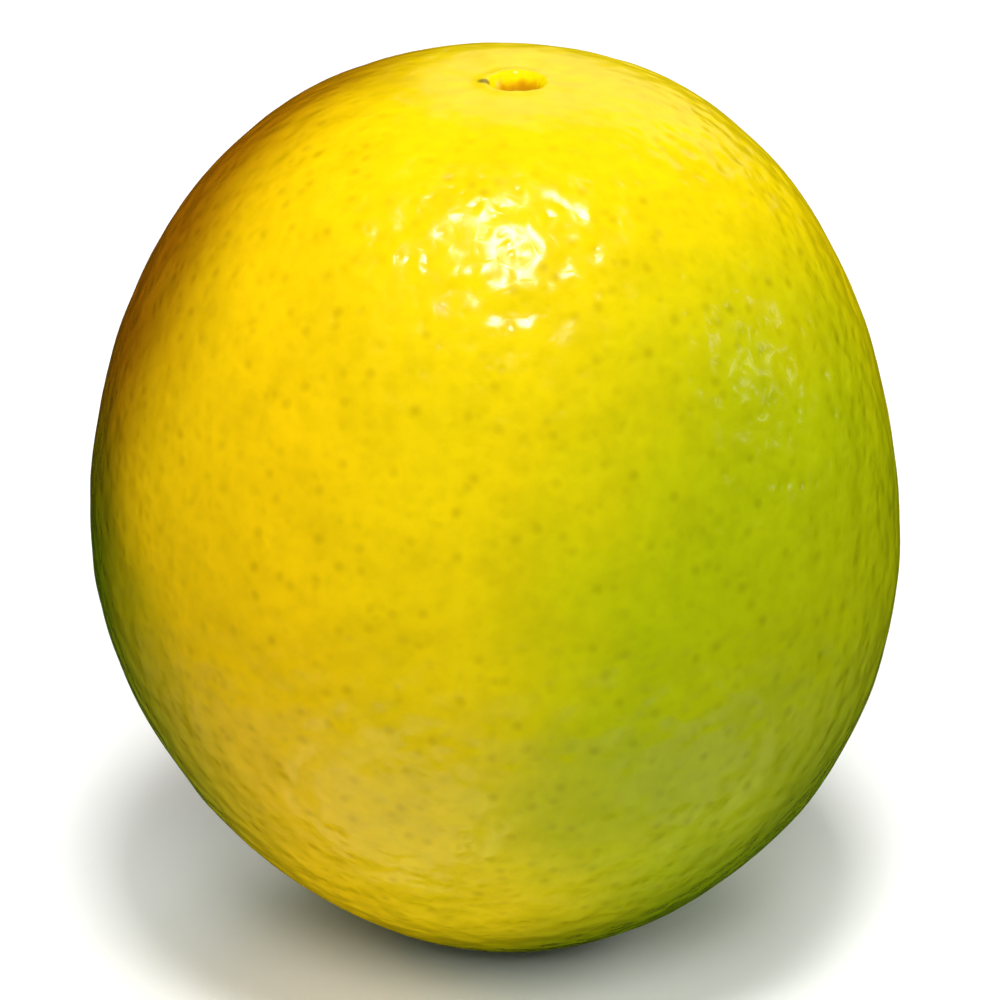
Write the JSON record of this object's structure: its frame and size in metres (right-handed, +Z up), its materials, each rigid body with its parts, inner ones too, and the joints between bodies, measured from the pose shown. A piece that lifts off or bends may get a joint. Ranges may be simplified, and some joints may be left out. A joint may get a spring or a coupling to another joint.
{
  "type": "orange",
  "caption": "Whole fresh orange, taller than wide, with pitted yellow-green peel, a small stem scar at the crown and a flat spot to rest on.",
  "frame": {"origin": "middle of the fruit's box seen from above, at the level of the flat spot that it rests on", "axes": "+Z up the fruit's core from the flat spot to the stem scar, -Y towards the viewer, +X to the viewer's right, where the peel is greenest"},
  "size_m": [0.074, 0.0732, 0.0824],
  "materials": {
    "citrus_peel": "satin"
  },
  "bodies": {
    "root": {"orange": "citrus_peel"}
  },
  "joints": []
}
